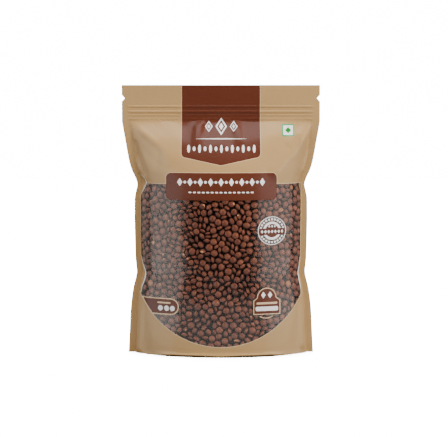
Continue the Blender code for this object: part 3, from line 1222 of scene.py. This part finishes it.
@dataclass
class LentilPacking:
    """Loose lentils settled against the inside of the window, in millimetres."""

    form: PouchForm
    half_width: float = 79.4
    seal_gap: float = 0.7
    low: float = 3.0
    high: float = 169.0
    thickest: float = 13.0
    back_share: float = 1.65
    layers: tuple[LentilLayer, ...] = (LentilLayer(0.15, 0.885, 3.1), LentilLayer(3.8, 0.70, 0.8))
    mean_face: float = 31.0
    diameter: tuple[float, float] = (6.3, 8.0)
    flatness: float = 0.53
    steps: int = 130
    rebuild: int = 6
    easing: float = 1.5
    joint_steps: int = 40
    joint_rebuild: int = 8
    last_steps: int = 12
    clearance: float = 0.15
    reach_share: float = 1.05
    gyration: float = 0.3
    steepest: float = 4.0
    rim_share: float = 0.78
    pushing: float = 1.1
    drawing: float = 0.25
    side_by_side: float = 0.5
    turning: float = 0.9
    largest_turn: float = 0.25
    table_half_width: float = 95.0
    table_levels: tuple[float, float] = (-5.0, 185.0)
    swelling: float = 0.16
    flattening: float = 0.014
    seed: int = 21
    beads: int = 8

    def settle(self) -> dict[str, Array]:
        """Push the lentils apart until hardly any of them crosses another or the film.

        Returns:
            Their centres, rotation matrices, diameters and layers.
        """
        random = np.random.default_rng(self.seed)
        self._tabulate()
        parts = [self._layer(random, layer) for layer in self.layers]
        centres, turns, sizes = (np.concatenate(column) for column in zip(*parts))
        numbers = np.repeat(np.arange(len(parts)), [len(part[2]) for part in parts])
        loose = (numbers > 0).astype(float)
        for step in range(self.joint_steps):
            if step % self.joint_rebuild == 0:
                pairs = self._neighbours(centres)
            centres, turns = self._relax(centres, turns, sizes, pairs, loose)
        for _ in range(self.last_steps):
            centres = self._behind_film(centres, turns, sizes)
        return {"centres": centres, "turns": turns, "sizes": sizes, "layers": numbers}

    def _layer(
        self, random: np.random.Generator, layer: LentilLayer
    ) -> tuple[Array, Array, Array]:
        """Settle one layer against the film.

        Args:
            random: The source of chance.
            layer: The layer's place and fill.

        Returns:
            Centres, rotation matrices and diameters.
        """
        x, z = self.cells
        mean = sum(self.diameter) / 2
        steep = np.sqrt(1 + (self._lookup(self.slopes, x, z) ** 2).sum(axis=-1))
        free = (np.abs(x) < self._lookup(self.sides, x, z) - mean / 4) & (z > self.low) & (z < self.high)
        weight = np.where(free, np.minimum(steep, self.steepest), 0.0)
        count = int(layer.cover * weight.sum() / self.mean_face)
        chosen = random.choice(len(x), count, p=weight / weight.sum())
        x, z = (axis[chosen] + random.uniform(-0.5, 0.5, count) for axis in (x, z))
        inward = self._inward(x, z)
        surface = np.stack([x, -self._lookup(self.depths, x, z), z], axis=1)
        centres = surface + inward * (layer.behind + mean * self.flatness)
        turns = self._first_turns(random, inward, layer.lean)
        sizes = random.uniform(*self.diameter, count)
        loose = np.ones(count)
        for step in range(self.steps):
            if step % self.rebuild == 0:
                pairs = self._neighbours(centres)
            early = max(0.0, 1.0 - self.easing * step / self.steps)
            grown_sizes, flattening = sizes * (1.0 + self.swelling * early), self.flattening * (early > 0)
            centres, turns = self._relax(
                centres, turns, grown_sizes, pairs, loose, layer.behind, flattening
            )
        return centres, turns, sizes

    def _tabulate(self) -> None:
        """Tabulate the film's depth and slopes on a grid of one millimetre."""
        low, high = self.table_levels
        self.origin = np.array([-self.table_half_width, low])
        across = np.arange(-self.table_half_width, self.table_half_width + 1.0)
        x, z = np.meshgrid(across, np.arange(low, high + 1.0), indexing="ij")
        self.depths = self.form.depth(x, z)
        self.slopes = np.stack(np.gradient(self.depths), axis=-1)
        self.sides = np.minimum(self.form.inner(np.maximum(z, 0.0)) - self.seal_gap, self.half_width)
        self.cells = (x.ravel(), z.ravel())

    def _lookup(self, table: Array, x: Array, z: Array) -> Array:
        """Read a table between its grid points."""
        u = np.clip(x - self.origin[0], 0, table.shape[0] - 1.001)
        v = np.clip(z - self.origin[1], 0, table.shape[1] - 1.001)
        i, j = u.astype(int), v.astype(int)
        u, v = u - i, v - j
        if table.ndim == 3:
            u, v = u[..., None], v[..., None]
        low = table[i, j] * (1 - u) + table[i + 1, j] * u
        high = table[i, j + 1] * (1 - u) + table[i + 1, j + 1] * u
        return low * (1 - v) + high * v

    def _inward(self, x: Array, z: Array) -> Array:
        """Direction from the film into the pouch."""
        slopes = self._lookup(self.slopes, x, z)
        way = np.stack([slopes[..., 0], np.ones_like(x), slopes[..., 1]], axis=-1)
        return way / np.linalg.norm(way, axis=-1, keepdims=True)

    def behind_film(self, spots: Array) -> Array:
        """Measure how far behind the film places lie."""
        x, y, z = np.moveaxis(spots, -1, 0)
        return (y + self._lookup(self.depths, x, z)) * self._inward(x, z)[..., 1]

    @staticmethod
    def _first_turns(random: np.random.Generator, inward: Array, lean: float) -> Array:
        """Draw rotation matrices whose axes lean towards the film."""
        axis = random.normal(size=inward.shape)
        axis /= np.linalg.norm(axis, axis=1, keepdims=True)
        axis -= lean * inward * random.uniform(0.0, 2.0, (len(inward), 1))
        axis /= np.linalg.norm(axis, axis=1, keepdims=True)
        side = np.cross(axis, random.normal(size=axis.shape))
        side /= np.linalg.norm(side, axis=1, keepdims=True)
        return np.stack([side, np.cross(axis, side), axis], axis=-1)

    def _neighbours(self, centres: Array) -> Array:
        """Pair up the lentils that could touch."""
        tree = KDTree(len(centres))
        for number, centre in enumerate(centres):
            tree.insert(centre, number)
        tree.balance()
        reach = self.diameter[1] * self.reach_share
        pairs = []
        for number, centre in enumerate(centres):
            pairs += [(number, other) for _, other, _ in tree.find_range(centre, reach) if other > number]
        return np.array(pairs)

    def _bead_offsets(self) -> tuple[Array, Array]:
        """Stand a lentil in for a ball in its middle and a ring of smaller ones."""
        middle, rim = self.flatness / 2, self.flatness / 2 * self.rim_share
        angles = np.arange(self.beads) * 2 * np.pi / self.beads
        around = np.stack([np.cos(angles), np.sin(angles), np.zeros(self.beads)], axis=1)
        offsets = np.concatenate([np.zeros((1, 3)), around * (0.5 - rim)])
        return offsets, np.array([middle] + [rim] * self.beads)

    def _relax(
        self,
        centres: Array,
        turns: Array,
        sizes: Array,
        pairs: Array,
        loose: Array,
        behind: float | None = None,
        flattening: float = 0.0,
    ) -> tuple[Array, Array]:
        """Make one round of pushes and turns.

        Args:
            centres: The lentils' centres.
            turns: Their rotation matrices.
            sizes: Their diameters.
            pairs: Which lentils may touch.
            loose: One for each lentil that may move, and nought for the others.
            behind: The distance from the film that a layer is drawn to, if any.
            flattening: How strongly the lentils turn flat against the film.

        Returns:
            The new centres and rotation matrices.
        """
        offsets, radii = self._bead_offsets()
        arms = np.einsum("nij,bj->nbi", turns, offsets) * sizes[:, None, None]
        balls = centres[:, None, :] + arms
        reach = radii[None, :] * sizes[:, None]
        push = np.zeros_like(centres)
        twist = np.zeros_like(centres)
        touches = np.zeros(len(centres))

        first, second = pairs.T
        gap = balls[first][:, :, None, :] - balls[second][:, None, :, :]
        if behind is not None:
            inward = self._inward(centres[first, 0], centres[first, 2])
            deep = np.einsum("pabi,pi->pab", gap, inward)
            gap = gap - self.side_by_side * deep[..., None] * inward[:, None, None, :]
        distance = np.sqrt((gap ** 2).sum(axis=-1)) + 1e-9
        overlap = np.maximum(0.0, reach[first][:, :, None] + reach[second][:, None, :] - distance)
        shove = gap * (0.5 * overlap / distance)[..., None]
        hits = (overlap > 0).sum(axis=(1, 2))
        for index, sign, own in ((first, 1.0, shove.sum(axis=2)), (second, -1.0, shove.sum(axis=1))):
            force = sign * own
            torque = np.cross(arms[index], force)
            for axis in range(3):
                push[:, axis] += np.bincount(index, force[..., axis].sum(axis=1), len(centres))
                twist[:, axis] += np.bincount(index, torque[..., axis].sum(axis=1), len(centres))
            touches += np.bincount(index, hits, len(centres))

        for force in self._walls(balls, reach, behind or 0.0):
            push += force.sum(axis=1)
            twist += np.cross(arms, force).sum(axis=1)
            touches += (force != 0).any(axis=-1).sum(axis=1)

        share = loose / np.maximum(1.0, touches * 0.5)
        centres = centres + push * (self.pushing * share)[:, None]
        if behind is not None:
            inward = self._inward(centres[:, 0], centres[:, 2])
            surface = -self._lookup(self.depths, balls[..., 0], balls[..., 2])
            ahead = ((balls[..., 1] - surface) * inward[:, None, 1] - reach).min(axis=1)
            centres = centres - inward * (self.drawing * (ahead - behind - self.clearance))[:, None]
        spin = twist * (self.turning * share / (self.gyration * sizes) ** 2)[:, None] / (self.beads / 2)
        if behind is not None:
            axis = turns[:, :, 2]
            facing = inward * np.sign((axis * inward).sum(axis=1, keepdims=True))
            spin += flattening * np.cross(axis, facing)
        return centres, self._turned(turns, np.clip(spin, -self.largest_turn, self.largest_turn))

    def _walls(self, balls: Array, reach: Array, offset: float) -> list[Array]:
        """Work out the pushes of the film, the heap behind and the side seals.

        Args:
            balls: The middle of each lentil's balls.
            reach: The balls' radii.
            offset: How far behind the film the front wall stands.

        Returns:
            One array of pushes for each wall.
        """
        x, _, z = np.moveaxis(balls, -1, 0)
        film = self._lookup(self.depths, x, z)
        inward = self._inward(x, z)
        behind = self.behind_film(balls)
        room = np.minimum(self.thickest, self.back_share * film * inward[..., 1])
        front = np.maximum(0.0, reach + self.clearance + offset - behind)
        rear = np.maximum(0.0, behind + reach - room)
        side = np.maximum(0.0, np.abs(x) + reach + self.clearance - self._lookup(self.sides, x, z))
        floor = np.maximum(0.0, self.low + reach - z)
        roof = np.maximum(0.0, z + reach - self.high)
        nothing = np.zeros_like(x)
        return [
            inward * front[..., None],
            inward * (-0.5 * rear)[..., None],
            np.stack([-np.sign(x) * side, nothing, nothing], axis=-1),
            np.stack([nothing, nothing, floor - roof], axis=-1),
        ]

    def _behind_film(self, centres: Array, turns: Array, sizes: Array) -> Array:
        """Draw every lentil that still touches a sheet of the film or a seal back from it.

        Args:
            centres: The lentils' centres.
            turns: Their rotation matrices.
            sizes: Their diameters.

        Returns:
            The new centres.
        """
        offsets, radii = self._bead_offsets()
        balls = centres[:, None, :] + np.einsum("nij,bj->nbi", turns, offsets) * sizes[:, None, None]
        reach = radii[None, :] * sizes[:, None]
        front, _, side, level = self._walls(balls, reach, 0.0)
        x, y, z = np.moveaxis(balls, -1, 0)
        thin = np.maximum(0.0, y + reach + self.clearance - self._lookup(self.depths, x, z))
        rear = np.stack([-np.sign(x) * thin, -thin, np.zeros_like(thin)], axis=-1)
        for force in (rear, front, side, level):
            deepest = np.abs(force).sum(axis=-1).argmax(axis=1)
            centres = centres + force[np.arange(len(centres)), deepest]
        return centres

    @staticmethod
    def _turned(turns: Array, spin: Array) -> Array:
        """Turn rotation matrices by small rotation vectors."""
        angle = np.linalg.norm(spin, axis=1) + 1e-12
        x, y, z = (spin / angle[:, None]).T
        zero = np.zeros_like(x)
        cross = np.moveaxis(np.array([[zero, -z, y], [z, zero, -x], [-y, x, zero]]), 2, 0)
        step = np.eye(3) + np.sin(angle)[:, None, None] * cross
        step = step + (1 - np.cos(angle))[:, None, None] * (cross @ cross)
        return step @ turns


@dataclass
class LentilHeap:
    """The lentils that show in the window, and the dark heap behind them."""

    form: PouchForm
    packing: LentilPacking
    segments: int = 12
    rings: int = 6
    rim: float = 0.36
    split_share: float = 0.009
    tint_spread: float = 2.2
    shade_depth: float = 9.0
    shade_depth_most: float = 30.0
    steepest: float = 1.6
    core_levels: tuple[float, float] = (5.2, 172.0)
    core_size: tuple[int, int] = (76, 61)
    core_inset: float = 0.4
    core_back: float = 0.1
    core_thinnest: float = 0.05
    core_share: float = 0.9
    bump_height: float = 0.5
    bump_waves: tuple = (1.05, 0.4, 1.1, 0.5, 0.7)
    seed: int = 5

    def tree(self) -> bpy.types.NodeTree:
        """Build the node tree that sets a lens-shaped seed on every point.

        Returns:
            The geometry tree.
        """
        tree = bpy.data.node_groups.new("set_lentils", "GeometryNodeTree")
        graph = Graph(tree)
        inputs = (
            ("Points", "Geometry"), ("Flatness", "Float"), ("Rim", "Float"),
            ("Segments", "Int"), ("Rings", "Int"), ("Finish", "Material"),
        )
        for name, kind in inputs:
            tree.interface.new_socket(name, in_out="INPUT", socket_type=f"NodeSocket{kind}")
        tree.interface.new_socket("Lentils", in_out="OUTPUT", socket_type="NodeSocketGeometry")
        given = tree.nodes.new("NodeGroupInput")
        take = {socket.name: Socket(tree, socket) for socket in given.outputs if socket.name}
        ball = graph.add(
            "GeometryNodeMeshUVSphere",
            sockets={"Segments": take["Segments"], "Rings": take["Rings"], "Radius": 0.5},
        )
        parts = graph.add("ShaderNodeSeparateXYZ", sockets={0: graph.add("GeometryNodeInputPosition")})
        x, y, z = (Socket(tree, parts.socket.node.outputs[i]) for i in range(3))
        bulge = z * take["Flatness"] * (1.0 - (x * x + y * y) * 4.0 * take["Rim"])
        spot = graph.add("ShaderNodeCombineXYZ", sockets={0: x, 1: y, 2: bulge})
        seed = graph.add("GeometryNodeSetPosition", sockets={"Geometry": ball, "Position": spot})
        turn = graph.add(
            "GeometryNodeInputNamedAttribute", {"data_type": "QUATERNION"}, {"Name": "turn"}
        )
        size = graph.add("GeometryNodeInputNamedAttribute", {"data_type": "FLOAT"}, {"Name": "size"})
        copies = graph.add(
            "GeometryNodeInstanceOnPoints",
            sockets={"Points": take["Points"], "Instance": seed, "Rotation": turn, "Scale": size},
        )
        real = graph.add("GeometryNodeRealizeInstances", sockets={"Geometry": copies})
        smooth = graph.add("GeometryNodeSetShadeSmooth", sockets={"Geometry": real})
        finished = graph.add(
            "GeometryNodeSetMaterial", sockets={"Geometry": smooth, "Material": take["Finish"]}
        )
        graph.add("NodeGroupOutput", sockets={"Lentils": finished})
        return tree

    def build(self) -> list[Piece]:
        """Settle the lentils and make them, whole ones and split ones."""
        settled = self.packing.settle()
        random = np.random.default_rng(self.seed)
        count = len(settled["sizes"])
        tints = random.beta(self.tint_spread, self.tint_spread, count)
        split = random.random(count) < self.split_share
        tree = self.tree()
        kinds = (("lentils_whole", ~split, LENTIL_SKIN), ("lentils_split", split, SPLIT_SKIN))
        return [self._kind(name, tree, settled, tints, chosen, skin) for name, chosen, skin in kinds]

    def _kind(
        self,
        name: str,
        tree: bpy.types.NodeTree,
        settled: dict[str, Array],
        tints: Array,
        chosen: Array,
        skin: Finish,
    ) -> Piece:
        """Make all lentils of one kind as a plain mesh.

        Args:
            name: The piece's name.
            tree: The node tree.
            settled: What the packing gave.
            tints: Each lentil's tint.
            chosen: Which lentils are of this kind.
            skin: Their finish.

        Returns:
            The piece.
        """
        carrier = plain_mesh(f"{name}_points", settled["centres"][chosen] * MM, [])
        turns = [Matrix(m).to_quaternion() for m in settled["turns"][chosen]]
        columns = (
            ("turn", "QUATERNION", [part for turn in turns for part in turn]),
            ("size", "FLOAT", (settled["sizes"][chosen] * MM).tolist()),
            ("tint", "FLOAT", tints[chosen].tolist()),
        )
        for label, kind, values in columns:
            carrier.data.attributes.new(label, kind, "POINT").data.foreach_set("value", values)
        modifier = carrier.modifiers.new("Set lentils", "NODES")
        modifier.node_group = tree
        wanted = {
            "Flatness": self.packing.flatness,
            "Rim": self.rim,
            "Segments": self.segments,
            "Rings": self.rings,
            "Finish": skin.material(),
        }
        for socket in tree.interface.items_tree:
            if socket.in_out == "INPUT" and socket.name in wanted:
                modifier[socket.identifier] = wanted[socket.name]
        bpy.context.view_layer.update()
        result = carrier.evaluated_get(bpy.context.evaluated_depsgraph_get())
        mesh = bpy.data.meshes.new_from_object(result)
        mesh.name = name
        carrier.modifiers.clear()
        bpy.data.objects.remove(carrier, do_unlink=True)
        # Each point's depth behind the film, which the lentil skin turns into painted shade.
        spots = np.empty(len(mesh.vertices) * 3)
        mesh.vertices.foreach_get("co", spots)
        painted_shade_depth = self.packing.behind_film(spots.reshape(-1, 3) / MM)
        mesh.attributes.new("painted_shade_depth", "FLOAT", "POINT").data.foreach_set("value", painted_shade_depth)
        piece = bpy.data.objects.new(name, mesh)
        bpy.context.scene.collection.objects.link(piece)
        return piece

    def shade(self) -> Piece:
        """Make the closed heap that fills the pouch behind the lentils, dark with painted shade.

        Returns:
            The piece.
        """
        form = self.form
        rows, columns = self.core_size
        spread = np.sin(np.linspace(-np.pi / 2, np.pi / 2, columns))
        z = np.repeat(np.linspace(*self.core_levels, rows)[:, None], columns, axis=1)
        x = spread[None, :] * (form.inner(z) - self.core_inset)
        wide, bend, tall, lean, run = self.bump_waves
        waves = np.sin(x * wide + bend * np.sin(z)) * np.sin(z * tall + lean * np.sin(x * run))
        film = form.depth(x, z)
        steep = np.sqrt(1.0 + (np.gradient(film, axis=1) / np.gradient(x, axis=1)) ** 2)
        behind = np.minimum(self.shade_depth * np.minimum(steep, self.steepest), self.shade_depth_most)
        front = np.maximum(self.core_thinnest, film - behind + self.bump_height * waves)
        front = np.minimum(front, film * self.core_share)
        sheets = (form.sway(x, z) - front, form.sway(x, z) + self.core_back + 0 * z)
        points = np.concatenate([np.stack([x, y, z], axis=-1).reshape(-1, 3) for y in sheets]) * MM
        faces = []
        half = rows * columns
        for row in range(rows - 1):
            for a in range(row * columns, (row + 1) * columns - 1):
                b = a + columns
                faces.append((a, a + 1, b + 1, b))
                faces.append((half + a, half + b, half + b + 1, half + a + 1))
        numbers = np.arange(half).reshape(rows, columns)
        rim = [*numbers[0], *numbers[1:, -1], *numbers[-1, -2::-1], *numbers[-2:0:-1, 0]]
        faces += [(b, a, half + a, half + b) for a, b in zip(rim, rim[1:] + rim[:1])]
        # The core's finish paints the shade deep in the heap.
        return plain_mesh("heap_core", points, faces)

    def dress(self, lentils: Iterable[Piece], core: Piece) -> None:
        """Finish the core and hand everything over."""
        core.data.materials.append(HEAP_SHADE.material())
        for piece in (*lentils, core):
            hand_over(piece, "lentils")


def aim(item: Piece, place: Triple, target: Triple) -> None:
    """Stand a light or a camera in its place and turn it towards its target."""
    way = Vector(target) - Vector(place)
    item.matrix_world = Matrix.Translation(place) @ way.to_track_quat("-Z", "Y").to_matrix().to_4x4()


@dataclass(frozen=True)
class SoftLight:
    """One rectangular studio light, aimed at the pouch."""

    name: str
    place: Triple
    size: tuple[float, float]
    radiance: float
    mirrored: bool = True
    target: Triple = (0.0, 0.0, 0.12)
    lights_up: bool = True

    def build(self) -> Piece:
        """Add the light to the scene and hand it back."""
        data = bpy.data.lights.new(self.name, "AREA")
        data.shape = "RECTANGLE"
        data.size, data.size_y = self.size
        data.energy = self.radiance * math.pi * self.size[0] * self.size[1]
        light = bpy.data.objects.new(self.name, data)
        light.visible_camera = False
        light.visible_glossy = self.mirrored
        light.visible_diffuse = self.lights_up
        aim(light, self.place, self.target)
        bpy.context.scene.collection.objects.link(light)
        return light


@dataclass
class Studio:
    """Pale table, soft lights, white surround and the camera."""

    camera_place: Triple = (0.0, -1.4, 0.245)
    camera_target: Triple = (0.0, 0.0, 0.128)
    lens: float = 116.48
    shift: Point = (0.00692, 0.00555)
    table_reach: float = 3.0
    lights: tuple[SoftLight, ...] = (
        SoftLight("left_softbox", (-0.92, -0.50, 0.30), (0.95, 1.1), 1.4),
        SoftLight("right_softbox", (0.92, -0.50, 0.30), (0.95, 1.1), 1.35),
        SoftLight("left_wing", (-1.15, 0.40, 0.30), (0.8, 1.1), 0.7),
        SoftLight("right_wing", (1.15, 0.40, 0.30), (0.8, 1.1), 0.45),
        SoftLight("overhead_softbox", (0.0, -0.12, 1.25), (1.1, 0.8), 2.75),
        SoftLight("high_key", (0.1, -0.95, 1.45), (0.6, 0.5), 14.8, False),
        SoftLight("top_key", (0.5, -0.35, 1.45), (0.5, 0.5), 10.0, False),
        SoftLight("left_key", (-1.0, -0.75, 0.55), (0.5, 0.6), 4.0, False),
        SoftLight("right_key", (1.0, -0.75, 0.55), (0.5, 0.6), 16.0, False),
        SoftLight("low_key", (0.0, -1.6, 0.22), (1.2, 0.4), 2.2, False),
        SoftLight("back_fill", (0.0, 1.6, 0.9), (1.8, 1.0), 7.0, False),
        SoftLight("low_card", (0.0, -0.17, 0.002), (1.4, 0.24), 0.68, True, (0.0, -0.17, 1.0), False),
    )
    table_sun: float = 75.0
    table_sun_angle: float = 24.0
    surround_seen: float = 16.0
    surround_light: float = 0.04
    surround_mirrored: float = 0.02
    sensor_width: float = 36.0
    clip: Point = (0.05, 20.0)

    def build(self) -> None:
        """Set up everything round the pouch."""
        self._table()
        for light in self.lights:
            light.build().light_linking.receiver_collection = self.all_but_table
        self._table_sun()
        self._surround()
        self._camera()

    def _table(self) -> None:
        """Lay the table, which only the camera sees."""
        reach = self.table_reach
        corners = [(-reach, -reach, 0), (reach, -reach, 0), (reach, reach, 0), (-reach, reach, 0)]
        table = plain_mesh("table", np.array(corners, float), [(0, 1, 2, 3)])
        table.data.materials.append(TABLE_TOP.material())
        table.visible_diffuse = table.visible_glossy = table.visible_shadow = False
        self.table_only = bpy.data.collections.new("table_only")
        self.all_but_table = bpy.data.collections.new("all_but_table")
        for group in (self.table_only, self.all_but_table):
            group.objects.link(table)
        self.all_but_table.collection_objects[0].light_linking.link_state = "EXCLUDE"

    def _table_sun(self) -> None:
        """Light the table alone from straight above, so that the pouch still shades it."""
        data = bpy.data.lights.new("table_sun", "SUN")
        data.energy = self.table_sun
        data.angle = math.radians(self.table_sun_angle)
        sun = bpy.data.objects.new("table_sun", data)
        sun.visible_glossy = sun.visible_camera = False
        sun.light_linking.receiver_collection = self.table_only
        bpy.context.scene.collection.objects.link(sun)

    def _surround(self) -> None:
        """Make the surround white where it is looked at and dim where it is mirrored."""
        world = bpy.data.worlds.new("surround")
        world.use_nodes = True
        bpy.context.scene.world = world
        graph = Graph(world.node_tree)
        seen = graph.add("ShaderNodeLightPath", output="Is Camera Ray")
        mirrored = graph.add("ShaderNodeLightPath", output="Is Glossy Ray")
        dim = (1.0 - seen) * (1.0 - mirrored) * self.surround_light + mirrored * self.surround_mirrored
        strength = seen * self.surround_seen + dim
        light = graph.add(
            "ShaderNodeBackground", sockets={"Color": (1.0, 1.0, 1.0, 1.0), "Strength": strength}
        )
        graph.add("ShaderNodeOutputWorld", sockets={"Surface": light})

    def _camera(self) -> None:
        """Stand the camera in front of the pouch, a little above its middle."""
        data = bpy.data.cameras.new("camera")
        data.sensor_width = self.sensor_width
        data.lens = self.lens
        data.shift_x, data.shift_y = self.shift
        data.clip_start, data.clip_end = self.clip
        camera = bpy.data.objects.new("camera", data)
        aim(camera, self.camera_place, self.camera_target)
        bpy.context.scene.collection.objects.link(camera)
        bpy.context.scene.camera = camera


def main() -> None:
    """Build the pouch's skin, its lentils and the studio."""
    logging.basicConfig(level=logging.INFO, format="%(name)s: %(message)s")
    Studio().build()
    form = PouchForm()
    skin = PouchSkin(form)
    skin.dress(*skin.build())
    heap = LentilHeap(form, LentilPacking(form))
    heap.dress(heap.build(), heap.shade())


if __name__ == "__main__":
    main()
